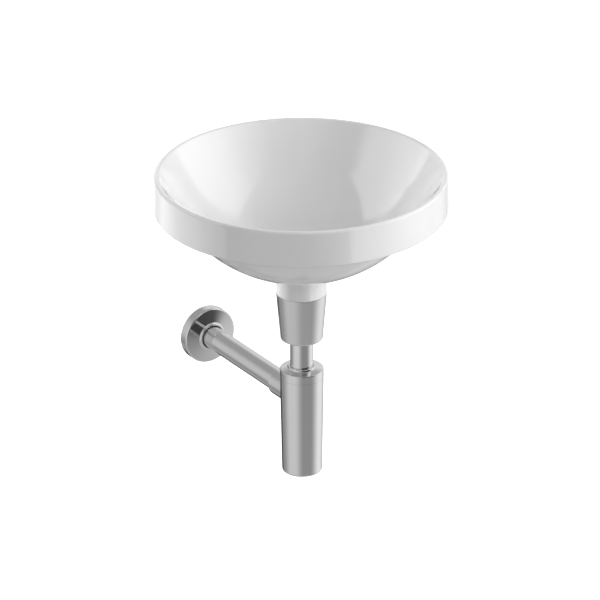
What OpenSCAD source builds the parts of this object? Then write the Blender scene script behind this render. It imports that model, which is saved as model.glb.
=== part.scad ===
// Round inset basin with its waste, cover cup, bottle trap and wall outlet pipe.
// Millimetres. The countertop plane is z = 0, the basin's axis is x = y = 0,
// and the wall stands square to +Y.

/* [Rim] */
// Outer diameter of the rim where it stands on the countertop
rim_d = 400; // [360:1:440]
// Height of the rim above the countertop
rim_h = 50; // [40:1:65]
// Radius that the rim's outer face loses from bottom to top
rim_taper = 1.2; // [0:0.2:4]
// Thickness of the rounded lip
lip_t = 8; // [6:0.5:10]
// Thickness of the skirt that stands on the countertop
skirt_t = 11; // [8:0.5:14]
// Edge rounding at the foot of the skirt
foot_r = 1.5; // [0.5:0.5:3]
// Rounding at the top of the hollow behind the skirt
cavity_r = 3; // [1:0.5:5]

/* [Bowl] */
// Slope of the straight stretch under the lip, from level
wall_slope = 56.6; // [54:0.2:60]
// Depth of the bowl's lowest point under the countertop
bowl_depth = 87; // [80:1:95]
// Ceramic wall thickness
bowl_wall = 10; // [7:0.5:12]
// Outer diameter of the outlet spigot under the bowl
spigot_d = 69.2; // [66:0.2:72]
// Length of the spigot below the waste's seat
spigot_length = 36; // [34:1:40]
// Blend radius where the spigot leaves the bowl
spigot_blend = 4; // [1:0.5:6]
// Diameter of the drain hole through the ceramic
drain_d = 46; // [45:0.5:50]
// Depth of the flange recess below the deepest point of the bowl
recess_depth = 4; // [4:0.5:6]
// Gap around the flange in its recess
recess_gap = 1.5; // [1:0.1:2]

/* [Waste] */
// Diameter of the waste's flange
flange_d = 64; // [60:0.5:66]
// Thickness of the waste's flange
flange_t = 2.5; // [2:0.1:3]
// Thickness of the flat gasket under the flange
flange_gasket_t = 1.5; // [1:0.1:2]
// Outer diameter of the waste's threaded tube
waste_d = 41.9; // [40:0.1:43]
// Inner diameter of the waste's tube
waste_bore = 36; // [34:0.5:37]
// Length of the waste's tube below its flange
waste_length = 78.5; // [74:0.5:90]
// Width of each rib that carries the click cartridge
rib_w = 3; // [2:0.5:4]
// Depth of the ribs under the flange's top face
rib_drop = 12; // [10:1:16]
// Height of the ribs
rib_h = 6; // [4:1:8]
// Outer diameter of the hub that the ribs carry
hub_d = 18; // [16:0.5:20]
// Radial gap between the waste's thread and the washers on it
washer_gap = 0.2; // [0.1:0.05:0.5]

/* [Plug] */
// Diameter of the plug's domed cap
plug_d = 61; // [56:0.5:62]
// Thickness of the cap at its edge
plug_edge_t = 2.4; // [2:0.1:3]
// Rise of the cap's dome
plug_dome = 3.6; // [2:0.1:5]
// Depth of the cartridge's blind bore below the stem
stem_room = 2; // [1:0.5:3]
// Thickness of the seal under the cap
plug_seal_t = 1.6; // [1.2:0.1:2.5]
// Radial width of the seal under the cap
plug_seal_w = 4; // [3:0.5:5]
// Mean diameter of the seal under the cap
plug_seal_d = 50; // [46:0.5:52]
// Diameter of the stem that carries the cap
stem_d = 8; // [7:0.1:9]
// Length of the stem below the cap
stem_length = 27; // [22:1:30]
// Outer diameter of the click cartridge
cartridge_d = 12; // [11:0.5:13]
// Length of the click cartridge
cartridge_length = 37; // [35:1:45]
// Across flats of the cartridge's hexagon head
cartridge_af = 15; // [14:0.5:17]
// Height of the cartridge's hexagon head
cartridge_head = 3; // [2:0.5:4]

/* [Lock nut and union] */
// Outer diameter of the rubber washer and the slip washer
washer_d = 60; // [54:0.5:62]
// Thickness of the rubber washer under the spigot
washer_t = 3; // [2:0.5:4]
// Thickness of the plastic slip washer
slip_t = 1; // [0.5:0.1:2]
// Across flats of the lock nut
lock_af = 50; // [48:0.5:53]
// Thickness of the lock nut
lock_t = 9; // [7:0.5:11]
// Across flats of the union nut
union_af = 47; // [46:0.5:48]
// Length of the union nut above the dip tube's collar
union_grip = 18; // [14:0.5:20]
// Thickness of the union nut's lower lip
union_lip_t = 4; // [3:0.5:5]
// Thickness of the union's flat gasket
union_gasket_t = 2; // [1.5:0.1:3]
// Share of a nut's corner height that its chamfer takes off
nut_bevel = 0.7; // [0.4:0.1:0.9]

/* [Cover cup] */
// Outer diameter of the cup at its open top
cup_top_d = 69.6; // [68:0.2:73]
// Outer diameter of the cup at its bottom
cup_bottom_d = 58; // [56:0.5:62]
// Height of the cup
cup_h = 69.7; // [68:0.1:75]
// Wall thickness of the cup
cup_wall = 1.2; // [0.8:0.1:2]
// Thickness of the cup's floor
cup_floor_t = 1.6; // [1.2:0.1:2.2]
// Thickness of the collar round the grip ring
cup_collar_t = 1.4; // [1:0.1:2]
// Rounding of the cup's bottom edge
cup_edge_r = 3; // [1:0.5:4]
// Height of the grip ring inside the cup's bottom
grip_h = 4; // [3:0.5:5]
// Radial width of the grip ring
grip_w = 3.6; // [3:0.1:4.5]

/* [Dip tube] */
// Outer diameter of the dip tube
tube_d = 32; // [31:0.1:33]
// Wall thickness of the dip tube
tube_wall = 1.2; // [0.8:0.1:1.5]
// Length of the dip tube below the trap's top edge
tube_dip = 109.5; // [100:0.5:118]
// Diameter of the collar that the union nut holds
collar_d = 40.4; // [39:0.1:41]
// Thickness of the collar
collar_t = 2.2; // [1.5:0.1:3]

/* [Trap] */
// Bare length of the tube between the cup and the trap's top edge
tube_bare = 45.7; // [44:0.1:60]
// Outer diameter of the trap at its top edge
trap_top_d = 60.8; // [60:0.2:64]
// Outer diameter of the trap at its bottom
trap_bottom_d = 55.6; // [54:0.2:60]
// Length of the trap
trap_length = 156.7; // [150:0.5:170]
// Wall thickness of the bottle
trap_wall = 2.2; // [1.6:0.1:2.4]
// Rounding of the bottle's bottom edge
trap_edge_r = 3; // [1:0.5:4]
// Height of the cap ring
cap_h = 12; // [11.5:0.5:14]
// Rounding of the cap ring's top edge
cap_edge_r = 1.2; // [0.5:0.1:2]
// Rise of the cap's top face towards the neck
cap_rise = 2.2; // [1:0.1:3]
// Thickness of the cap under its top edge
cap_t = 3; // [2.5:0.1:3.5]
// Diameter of the neck ring round the tube
neck_d = 39.4; // [38:0.2:40]
// Height of the neck ring
neck_h = 2.7; // [2:0.1:4]
// Rounding of the neck ring's outer edge
neck_edge_r = 1.6; // [1:0.1:1.8]
// Diameter of the bottle's threaded neck inside the cap
thread_d = 50; // [48.5:0.5:51]
// Diameter of the tube seal
seal_d = 40.2; // [38:0.2:41]
// Height of the tube seal
seal_h = 6; // [4:0.5:6.5]
// Height of the seal's pocket floor above the bottle's shoulder
pocket_rise = 0.6; // [0.4:0.1:1]
// Thickness of the bottle's top plate under its shoulder
plate_t = 3; // [2:0.5:4]

/* [Cleaning plug] */
// Diameter of the cleaning plug's thread
clean_d = 40; // [36:0.5:42]
// Diameter of the cleaning plug's flange
clean_flange_d = 46; // [44:0.5:47]
// Thickness of the cleaning plug's flange
clean_flange_t = 2.6; // [2:0.1:3]
// Length of the cleaning plug's thread
clean_length = 8; // [7:0.5:10]
// Section of the cleaning plug's seal ring
clean_seal = 2; // [1.5:0.1:2.5]
// Distance of the seal's groove from the plug's inner end
clean_land = 1.2; // [1:0.1:1.5]
// Wall between the plug's groove and its hollow
clean_wall = 2; // [1.5:0.5:3]
// Thickness of the plug above its coin slot
clean_web = 2; // [1.5:0.1:2.5]
// Height of the plug's end above the bottle's floor
clean_stand = 1; // [0.5:0.5:2]
// Width of the coin slot
slot_w = 3; // [2:0.5:4]
// Length of the coin slot
slot_l = 28; // [20:1:32]
// Depth of the coin slot
slot_depth = 1.6; // [1:0.1:2]

/* [Outlet] */
// Depth of the outlet pipe's axis under the trap's top edge
outlet_drop = 43.7; // [40:0.5:50]
// Outer diameter of the outlet pipe
pipe_d = 32; // [30:0.5:34]
// Wall thickness of the outlet pipe
pipe_wall = 1.2; // [0.8:0.1:1.5]
// Distance of the wall's face from the basin's axis
wall_y = 250; // [220:1:300]
// Length of the pipe's end inside the wall
pipe_tail = 25; // [20:1:30]
// Width of the rolled groove that marks how far the pipe goes into the wall
mark_w = 1; // [0.6:0.2:1.6]
// Depth of the rolled groove
mark_depth = 0.3; // [0.2:0.1:0.4]
// Chamfer of the pipe's end
pipe_chamfer = 0.5; // [0.2:0.1:0.6]
// Outer diameter of the boss on the bottle
boss_d = 35.6; // [34.5:0.1:40]
// Distance of the boss's end from the basin's axis
boss_end = 59; // [54:1:66]
// Diameter of the pipe's necked end inside the boss
spigot_pipe_d = 28; // [26:0.2:28.4]
// Distance of the necked end from the basin's axis
spigot_pipe_start = 33; // [32:0.5:35]
// Section of the outlet seal rings
outlet_seal = 1.2; // [1:0.1:1.4]
// Distance of the first seal ring from the necked end
seal_offset = 3; // [2:0.5:4]
// Distance between the two seal rings
seal_pitch = 4; // [3:0.5:5]
// Wall thickness of the pipe's necked end
neck_wall = 2.2; // [2:0.1:2.6]
// Length over which the pipe's bore narrows into its necked end
neck_taper = 3; // [2:0.5:5]

/* [Rosette] */
// Outer diameter of the rosette
rosette_d = 82; // [76:1:90]
// Depth of the rosette's rim from the wall
rosette_depth = 15; // [12:0.5:20]
// Further rise of the rosette's conical face
rosette_rise = 2.6; // [2:0.2:5]
// Radius of the rounded bead that ends the face round the pipe
bead_r = 1.4; // [1.2:0.1:1.8]
// Gap between the bead and the pipe, which the rubber ring's lip fills
bead_gap = 1; // [0.6:0.1:1.2]
// Height of the bead's crest over the inner end of the face
bead_rise = 3.5; // [3:0.1:4.5]
// Sheet thickness of the rosette
rosette_t = 1; // [0.8:0.1:1.5]
// Rounding of the rosette's front edge
rosette_edge_r = 2.5; // [1.5:0.5:4]
// Height of the rubber ring inside the rosette
rosette_ring_h = 4; // [3:0.5:6]
// Width of the hollow foot between the face and the bead
bead_foot = 1.2; // [1:0.1:1.8]
// Radial width of the rubber ring inside the rosette
ring_w = 2.25; // [2:0.05:2.5]

/* [Edges] */
// Chamfer of threads and turned ends
chamfer = 0.8; // [0.4:0.1:1]
// Small broken edge of thin pieces
edge_break = 0.5; // [0.3:0.1:0.6]

/* [Fits] */
// Radial play of a sliding fit
slide_play = 0.05; // [0.02:0.01:0.1]
// Radial play between pieces that only pass each other
free_play = 0.3; // [0.2:0.05:0.5]
// Gap between two pieces that part from each other
part_gap = 0.3; // [0.2:0.05:0.4]
// Narrow seam between two flat faces that turn on each other or end at each other
seam = 0.1; // [0.05:0.05:0.2]
// Length by which a collar stands past the rubber ring in it
collar_over = 0.5; // [0.3:0.1:1]

/* [Hidden] */
$fn = 120;

// Colours
ceramic = "white";
chrome = [0.78, 0.79, 0.80];
brass = [0.80, 0.66, 0.36];
rubber = [0.15, 0.15, 0.16];
plastic = [0.86, 0.86, 0.84];

// Small overlap that keeps a cut from ending on a face
over = 1;
// Depth by which a rib runs into the wall that carries it
embed = 0.5;

// Rim and bowl
lip_r = lip_t / 2;
rim_r = rim_d / 2;
lip_c = [rim_r - rim_taper - lip_r, rim_h - lip_r];
// Direction square to the straight slope, and the slope's distance from the origin
wall_angle = wall_slope - 90;
wall_normal = [cos(wall_angle), sin(wall_angle)];
wall_reach = wall_normal * lip_c - lip_r;
// The bowl's sphere touches the slope and passes through the lowest point
bowl_low = -bowl_depth;
bowl_centre = (wall_reach + bowl_low) / (1 + wall_normal[1]);
bowl_r = bowl_centre - bowl_low;
bowl_c = [0, bowl_centre];
bowl_out_r = bowl_r + bowl_wall;
skirt_in = rim_r - skirt_t;
// Rounding at the top of the hollow between the skirt and the bowl, touching both
cavity_x = skirt_in - cavity_r;
cavity_c = [cavity_x, bowl_centre + (bowl_out_r + cavity_r - cavity_x * wall_normal[0]) / wall_normal[1]];

// Waste, from the ceramic seat down
seat_z = bowl_low - recess_depth;
flange_low = seat_z + flange_gasket_t;
flange_top = flange_low + flange_t;
recess_r = flange_d / 2 + recess_gap;
drain_r = drain_d / 2;
waste_r = waste_d / 2;
waste_end = flange_low - waste_length;
cap_under = flange_top + plug_seal_t;
rib_top = flange_top - rib_drop;
cartridge_top = rib_top + cartridge_head;
stem_end = cap_under - stem_length;
cartridge_end = cartridge_top - cartridge_length;
spigot_r = spigot_d / 2;
spigot_end = seat_z - spigot_length;

// Nuts and washers under the spigot
washer_top = spigot_end;
slip_top = washer_top - washer_t;
lock_top = slip_top - slip_t;
gasket_top = waste_end;
collar_top = gasket_top - union_gasket_t;
collar_low = collar_top - collar_t;
union_top = collar_top + union_grip;
union_low = collar_low - union_lip_t;

// Cover cup
tube_r = tube_d / 2;
cup_top = spigot_end - seam;
cup_low = cup_top - cup_h;
cup_floor = cup_low + cup_floor_t;
grip_r = tube_r + slide_play + grip_w;
cup_collar_r = grip_r + cup_collar_t;

// Trap
trap_z = cup_low - tube_bare;
tube_end = trap_z - tube_dip;
trap_low = trap_z - trap_length;
function trap_r(z) = trap_bottom_d / 2 + (trap_top_d - trap_bottom_d) / 2 * (z - trap_low) / trap_length;
cap_low = trap_z - cap_h;
cone_top = trap_z + cap_rise;
neck_top = cone_top + neck_h;
neck_r = neck_d / 2;
cap_ceiling = trap_z - cap_t;
guide_r = tube_r + free_play;
thread_r = thread_d / 2;
bottle_top = cap_low - seam;
bottle_neck = cap_ceiling - 2 * part_gap;
seal_r = seal_d / 2;
pocket_floor = bottle_top + pocket_rise;
seal_low = pocket_floor + free_play;
seal_top = seal_low + seal_h;
plate_low = bottle_top - plate_t;
clean_r = clean_d / 2;
clean_top = trap_low + clean_flange_t;
clean_end = clean_top + clean_length;
floor_top = clean_end - clean_stand;
clean_groove_r = clean_r - clean_seal * 0.8;
clean_seal_top = clean_end - clean_land;
clean_seal_low = clean_seal_top - clean_seal;

// Outlet
outlet_z = trap_z - outlet_drop;
pipe_r = pipe_d / 2;
boss_r = boss_d / 2;
boss_z = outlet_z + pipe_r - boss_r;
boss_step = boss_d - pipe_d;
pipe_neck_r = spigot_pipe_d / 2;
pipe_shoulder = boss_end + seam;
pipe_end = wall_y + pipe_tail;
seal_near = spigot_pipe_start + seal_offset;

// Rosette
rosette_r = rosette_d / 2;
rosette_face = wall_y - rosette_depth;
cone_end = rosette_face - rosette_rise;
bead_c = [pipe_r + bead_gap + bead_r, cone_end - bead_rise + bead_r];
ring_r = pipe_r + slide_play;
ring_out = ring_r + ring_w;
ring_front = bead_c[1] + bead_r;
ring_back = ring_front + rosette_ring_h;
lip_out = pipe_r + bead_gap;
lip_front = bead_c[1] - bead_r / 2;

// Points along an arc about c, from angle a0 to angle a1, in n steps
function arc(c, r, a0, a1, n) = [for (i = [0:n]) let(a = a0 + (a1 - a0) * i / n) c + r * [cos(a), sin(a)]];

// Solid of revolution about the basin's axis from an outline of radius and height
module turned(outline) rotate_extrude() polygon(outline);

// Solid of revolution about the outlet's axis from an outline of radius and distance from the axis
module turned_y(outline, z) translate([0, 0, z]) rotate([-90, 0, 0]) rotate_extrude() polygon(outline);

// Plain ring between two radii and two heights
module ring(r_in, r_out, z_low, z_high)
    turned([[r_in, z_low], [r_out, z_low], [r_out, z_high], [r_in, z_high]]);

// Hexagon nut with chamfered corners and a plain bore
module hex_ring(af, r_in, z_low, z_high) {
    corner = af / cos(30) / 2;
    bevel = (corner - af / 2) * nut_bevel;
    difference() {
        intersection() {
            translate([0, 0, z_low]) cylinder(r = corner, h = z_high - z_low, $fn = 6);
            turned([[0, z_low], [af / 2, z_low], [corner, z_low + bevel], [corner, z_high - bevel],
                    [af / 2, z_high], [0, z_high]]);
        }
        translate([0, 0, z_low - over]) cylinder(r = r_in, h = z_high - z_low + 2 * over);
    }
}

// Ceramic basin: rounded lip, straight slope into a spherical bowl, a skirt that stands
// on the countertop with a hollow behind it, and a spigot with the drain hole
module basin() color(ceramic) {
    inner_low = asin(recess_r / bowl_r) - 90;
    outer_low = asin((spigot_r + spigot_blend) / (bowl_out_r + spigot_blend)) - 90;
    blend_c = bowl_c + (bowl_out_r + spigot_blend) * [cos(outer_low), sin(outer_low)];
    turned(concat(
        arc(bowl_c, bowl_r, inner_low, wall_angle, 28),
        arc(lip_c, lip_r, wall_angle + 180, 0, 14),
        [[rim_r - rim_taper * foot_r / rim_h, foot_r]],
        [[rim_r - foot_r, 0]],
        [[skirt_in, 0]],
        arc(cavity_c, cavity_r, 0, 180 + wall_angle, 6),
        arc(bowl_c, bowl_out_r, wall_angle, outer_low, 24),
        arc(blend_c, spigot_blend, outer_low + 180, 180, 4),
        [[spigot_r, spigot_end + edge_break], [spigot_r - edge_break, spigot_end]],
        [[drain_r, spigot_end], [drain_r, seat_z], [recess_r, seat_z]]));
}

// Waste: flange in the bowl, threaded tube, and three ribs with a hub for the click cartridge
module waste_body() color(chrome) {
    bore_r = waste_bore / 2;
    hub_r = hub_d / 2;
    flange_r = flange_d / 2;
    turned([[bore_r, waste_end], [waste_r - chamfer, waste_end], [waste_r, waste_end + chamfer],
            [waste_r, flange_low], [flange_r - chamfer, flange_low], [flange_r, flange_low + chamfer],
            [flange_r - 2 * edge_break, flange_top], [bore_r + 2 * chamfer, flange_top],
            [bore_r, flange_top - 2 * chamfer]]);
    ring(cartridge_d / 2, hub_r, rib_top - rib_h, rib_top);
    for (a = [0:120:240]) rotate([0, 0, a]) translate([hub_r - embed, -rib_w / 2, rib_top - rib_h])
        cube([bore_r - hub_r + 2 * embed, rib_w, rib_h]);
}

// Rubber gasket between the flange and the ceramic seat
module flange_gasket() color(rubber)
    ring(waste_r + washer_gap, flange_d / 2 - chamfer, seat_z, flange_low);

// Domed cap that closes the waste
module waste_plug() color(chrome) {
    r = plug_d / 2;
    // The dome is an arc through the cap's edge and its crown
    dome_r = (r * r + plug_dome * plug_dome) / (2 * plug_dome);
    edge_angle = asin((r - edge_break) / dome_r);
    dome_z = cap_under + plug_edge_t + plug_dome - dome_r;
    difference() {
        turned(concat([[0, cap_under], [r - chamfer, cap_under], [r, cap_under + chamfer],
                       [r, cap_under + plug_edge_t - edge_break]],
                      arc([0, dome_z], dome_r, 90 - edge_angle, 90, 12)));
        translate([0, 0, cap_under - over]) cylinder(d = stem_d, h = over + plug_edge_t);
    }
}

// Stem that the cap is screwed on and that the cartridge catches
module plug_stem() color(brass) {
    r = stem_d / 2 - slide_play;
    turned([[0, stem_end], [r - chamfer, stem_end], [r, stem_end + chamfer], [r, cap_under],
            [stem_d / 2, cap_under], [stem_d / 2, cap_under + plug_edge_t], [0, cap_under + plug_edge_t]]);
}

// Rubber seal under the cap
module plug_seal() color(rubber)
    ring((plug_seal_d - plug_seal_w) / 2, (plug_seal_d + plug_seal_w) / 2,
         flange_top + slide_play, cap_under);

// Click cartridge, screwed into the hub, with a blind bore for the stem
module click_cartridge() color(plastic) {
    difference() {
        union() {
            translate([0, 0, cartridge_end]) cylinder(d = cartridge_d, h = cartridge_length);
            hex_ring(cartridge_af, cartridge_d / 2 - over, rib_top, cartridge_top);
        }
        translate([0, 0, stem_end - stem_room])
            cylinder(d = stem_d, h = cartridge_top - stem_end + stem_room + over);
    }
}

// Rubber washer that seals the waste against the spigot's lower end
module spigot_washer() color(rubber) ring(waste_r + washer_gap, washer_d / 2, slip_top, washer_top);

// Plastic slip washer that lets the nut turn without dragging the rubber
module slip_washer() color(plastic) ring(waste_r + washer_gap, washer_d / 2, lock_top, slip_top);

// Brass nut that pulls the waste down
module lock_nut() color(brass) hex_ring(lock_af, waste_r + slide_play, lock_top - lock_t, lock_top);

// Union nut that holds the dip tube's collar against the waste
module union_nut() color(brass) difference() {
    hex_ring(union_af, tube_r + free_play, union_low, union_top);
    translate([0, 0, collar_low]) cylinder(r = waste_r + slide_play, h = union_top - collar_low + over);
}

// Flat gasket between the waste's end and the dip tube's collar
module union_gasket() color(rubber) ring(tube_r + free_play, collar_d / 2, collar_top, gasket_top);

// Straight tube from the union down into the bottle, with a collar at its top
module dip_tube() color(chrome) {
    bore = tube_r - tube_wall;
    turned([[bore, tube_end], [tube_r, tube_end], [tube_r, collar_low], [collar_d / 2, collar_low],
            [collar_d / 2, collar_top], [bore, collar_top]]);
}

// Tapered cup that hides the nuts, with a collar inside its floor for the grip ring
module cover_cup() color(chrome) {
    top_r = cup_top_d / 2;
    low_r = cup_bottom_d / 2;
    lean = atan((top_r - low_r) / cup_h);
    // Centre of the bottom edge's rounding, where it touches both the floor and the slope
    edge_c = [low_r - cup_edge_r * (1 - sin(lean)) / cos(lean), cup_low + cup_edge_r];
    // The inside rounding keeps a small radius when the outside one is no larger than the wall
    in_r = max(cup_edge_r - cup_wall, edge_break);
    collar_top_z = cup_floor + grip_h + collar_over;
    turned(concat(
        [[tube_r + free_play, cup_low]],
        arc(edge_c, cup_edge_r, -90, -lean, 6),
        [[top_r, cup_top - edge_break / 2], [top_r - edge_break / 2, cup_top], [top_r - cup_wall, cup_top]],
        arc([edge_c[0], cup_floor + in_r], in_r, -lean, -90, 4),
        [[cup_collar_r, cup_floor], [cup_collar_r, collar_top_z],
         [grip_r, collar_top_z], [grip_r, cup_floor], [tube_r + free_play, cup_floor]]));
}

// Rubber ring that lets the cup slide on the tube and stay where it is put
module cup_grip_ring() color(rubber) ring(tube_r + slide_play, grip_r, cup_floor, cup_floor + grip_h);

// Cap ring of the trap: tapered skirt over the bottle's neck, low cone and rounded neck ring
module trap_cap() color(chrome) {
    top_r = trap_r(trap_z);
    thread_in = thread_r + free_play;
    turned(concat(
        [[thread_in, cap_low], [trap_r(cap_low), cap_low]],
        arc([top_r - cap_edge_r, trap_z - cap_edge_r], cap_edge_r, 0, 80, 5),
        [[neck_r, cone_top]],
        arc([neck_r - neck_edge_r, neck_top - neck_edge_r], neck_edge_r, 0, 90, 8),
        [[guide_r, neck_top], [guide_r, seal_top], [seal_r, seal_top], [seal_r, cap_ceiling], [thread_in, cap_ceiling]]));
}

// Rubber seal that the cap presses round the tube
module tube_seal() color(rubber) ring(tube_r + slide_play, seal_r, seal_low, seal_top);

// Bottle: tapered body, threaded neck with the seal's pocket, and the eccentric outlet boss
module trap_bottle() color(chrome) difference() {
    edge_c = [trap_r(trap_low) - trap_edge_r, trap_low + trap_edge_r];
    pocket_r = seal_r + free_play;
    union() {
        turned(concat(
            [[0, trap_low]],
            arc(edge_c, trap_edge_r, -90, 0, 6),
            [[trap_r(bottle_top), bottle_top], [thread_r, bottle_top],
             [thread_r, bottle_neck - chamfer], [thread_r - chamfer, bottle_neck], [0, bottle_neck]]));
        // The boss's end is rounded about the pipe's axis, so it runs out level with the pipe on top
        intersection() {
            turned_y([[0, 0], [boss_r, 0], [boss_r, boss_end], [0, boss_end]], boss_z);
            turned_y(concat([[0, 0], [pipe_r + boss_step, 0]],
                            arc([pipe_r, boss_end - boss_step], boss_step, 0, 90, 8),
                            [[0, boss_end]]), outlet_z);
        }
    }
    turned([[0, floor_top], [trap_r(floor_top) - trap_wall, floor_top],
            [trap_r(plate_low) - trap_wall, plate_low], [0, plate_low]]);
    translate([0, 0, plate_low - over]) cylinder(r = guide_r, h = bottle_neck - plate_low + 2 * over);
    translate([0, 0, pocket_floor]) cylinder(r = pocket_r, h = bottle_neck - pocket_floor + over);
    translate([0, 0, trap_low - over])
        cylinder(r = clean_r + free_play, h = floor_top - trap_low + 2 * over);
    translate([0, 0, trap_low - over])
        cylinder(r = clean_flange_d / 2 + free_play, h = over + clean_flange_t);
    translate([0, 0, outlet_z]) rotate([-90, 0, 0])
        cylinder(r = pipe_neck_r + slide_play, h = boss_end + over);
}

// Screwed plug that closes the bottom of the bottle, with a coin slot
module cleaning_plug() color(chrome) difference() {
    flange_r = clean_flange_d / 2;
    turned([[0, trap_low], [flange_r - edge_break, trap_low], [flange_r, trap_low + edge_break],
            [flange_r, clean_top - slide_play], [clean_r, clean_top - slide_play],
            [clean_r, clean_seal_low], [clean_groove_r, clean_seal_low],
            [clean_groove_r, clean_seal_top], [clean_r, clean_seal_top],
            [clean_r, clean_end - edge_break], [clean_r - edge_break, clean_end], [0, clean_end]]);
    translate([-slot_l / 2, -slot_w / 2, trap_low - over]) cube([slot_l, slot_w, over + slot_depth]);
    // Hollow on the water side
    translate([0, 0, trap_low + slot_depth + clean_web])
        cylinder(r = clean_groove_r - clean_wall, h = clean_end - trap_low);
}

// Seal ring in the cleaning plug's groove
module cleaning_seal() color(rubber)
    ring(clean_groove_r + slide_play, clean_r + free_play - slide_play,
         clean_seal_low + slide_play, clean_seal_top - slide_play);

// Outlet pipe: a necked end with two seal grooves inside the boss, and a plain run into the wall
module outlet_pipe() color(chrome) {
    bore = pipe_r - pipe_wall;
    neck_bore = pipe_neck_r - neck_wall;
    groove = pipe_neck_r - outlet_seal;
    g0 = seal_near;
    g1 = seal_near + seal_pitch;
    turned_y([[neck_bore, spigot_pipe_start], [pipe_neck_r - chamfer, spigot_pipe_start],
              [pipe_neck_r, spigot_pipe_start + chamfer],
              [pipe_neck_r, g0], [groove, g0], [groove, g0 + outlet_seal], [pipe_neck_r, g0 + outlet_seal],
              [pipe_neck_r, g1], [groove, g1], [groove, g1 + outlet_seal], [pipe_neck_r, g1 + outlet_seal],
              [pipe_neck_r, pipe_shoulder], [pipe_r, pipe_shoulder],
              [pipe_r, wall_y - mark_w], [pipe_r - mark_depth, wall_y - mark_w],
              [pipe_r - mark_depth, wall_y], [pipe_r, wall_y],
              [pipe_r, pipe_end - pipe_chamfer], [pipe_r - pipe_chamfer, pipe_end], [bore, pipe_end],
              [bore, pipe_shoulder + neck_taper], [neck_bore, pipe_shoulder]], outlet_z);
}

// Two seal rings in the necked end's grooves
module outlet_seals() color(rubber) for (y = [seal_near, seal_near + seal_pitch])
    turned_y([[pipe_neck_r - outlet_seal, y], [pipe_neck_r + slide_play / 2, y],
              [pipe_neck_r + slide_play / 2, y + outlet_seal],
              [pipe_neck_r - outlet_seal, y + outlet_seal]], outlet_z);

// Pressed rosette: deep round rim, low conical face, a bead round the pipe and a collar behind it
module rosette() color(chrome) {
    r = rosette_r;
    t = rosette_t;
    edge = rosette_edge_r;
    collar_end = ring_back + collar_over;
    turned_y(concat(
        [[r, wall_y]],
        arc([r - edge, rosette_face + edge], edge, 0, -80, 6),
        [[bead_c[0] + bead_r + bead_foot, cone_end]],
        arc(bead_c, bead_r, 30, -180, 14),
        [[lip_out, ring_front], [ring_out, ring_front],
         [ring_out, collar_end], [ring_out + t, collar_end],
         [ring_out + t, cone_end + t]],
        arc([r - edge, rosette_face + edge], edge - t, -80, 0, 6),
        [[r - t, wall_y]]), outlet_z);
}

// Rubber ring that grips the pipe behind the rosette's bead, with a lip that fills the bead's mouth
module rosette_ring() color(rubber)
    turned_y([[ring_r, lip_front], [lip_out, lip_front], [lip_out, ring_front], [ring_out, ring_front],
              [ring_out, ring_back], [ring_r, ring_back]], outlet_z);

basin();
waste_body();
flange_gasket();
waste_plug();
plug_stem();
plug_seal();
click_cartridge();
spigot_washer();
slip_washer();
lock_nut();
union_nut();
union_gasket();
dip_tube();
cover_cup();
cup_grip_ring();
trap_cap();
tube_seal();
trap_bottle();
cleaning_plug();
cleaning_seal();
outlet_pipe();
outlet_seals();
rosette();
rosette_ring();
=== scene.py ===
"""Looks of the round inset basin with its waste, cover cup, bottle trap and wall outlet."""

import math

import bpy
import numpy as np
from mathutils import Matrix, Vector


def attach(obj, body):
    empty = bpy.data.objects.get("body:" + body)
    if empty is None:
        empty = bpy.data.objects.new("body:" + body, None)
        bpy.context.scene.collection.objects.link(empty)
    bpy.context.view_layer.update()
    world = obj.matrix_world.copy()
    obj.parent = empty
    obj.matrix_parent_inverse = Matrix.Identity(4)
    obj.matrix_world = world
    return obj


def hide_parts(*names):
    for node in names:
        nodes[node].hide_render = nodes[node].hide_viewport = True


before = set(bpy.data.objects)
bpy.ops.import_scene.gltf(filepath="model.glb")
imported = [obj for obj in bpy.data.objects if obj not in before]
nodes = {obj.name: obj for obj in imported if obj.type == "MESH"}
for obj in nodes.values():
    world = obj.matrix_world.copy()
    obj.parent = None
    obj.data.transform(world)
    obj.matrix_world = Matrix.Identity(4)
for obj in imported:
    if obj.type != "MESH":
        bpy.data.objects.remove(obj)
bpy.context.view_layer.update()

# Sizes of the model, in millimetres, as in the part's source
MM = 0.001

# Basin: rim, lip, bowl, hollow, recess for the waste, spigot
RIM_R = 200.0
RIM_H = 50.0
RIM_TAPER = 1.2
LIP_R = 4.0
SKIRT_IN = 189.0
BOWL_CENTRE = 103.013
BOWL_R = 190.013
BOWL_WALL = 10.0
WALL_SLOPE = 56.6
CAVITY_R = 3.0
FOOT_R = 1.5
SEAT_Z = -91.0
RECESS_R = 33.5
DRAIN_R = 23.0
SPIGOT_R = 34.6
SPIGOT_END = -127.0
SPIGOT_BLEND = 4.0

# Waste's cap
CAP_UNDER = -85.4
PLUG_R = 30.5
PLUG_EDGE = 2.4
PLUG_DOME = 3.6

# Cover cup, with the collar that holds its grip ring
CUP_TOP = -127.1
CUP_LOW = -196.8
CUP_TOP_R = 34.8
CUP_LOW_R = 29.0
CUP_WALL = 1.2
CUP_FLOOR = -195.2
GRIP_R = 19.65
CUP_COLLAR_R = 21.05
CUP_COLLAR_TOP = -190.7

# Tube between the waste and the trap, and the play round a piece that slides on it
TUBE_R = 16.0
TUBE_WALL = 1.2
TUBE_END = -352.0
COLLAR_R = 20.2
COLLAR_LOW = -172.2
COLLAR_TOP = -170.0
FREE = 0.3

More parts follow.
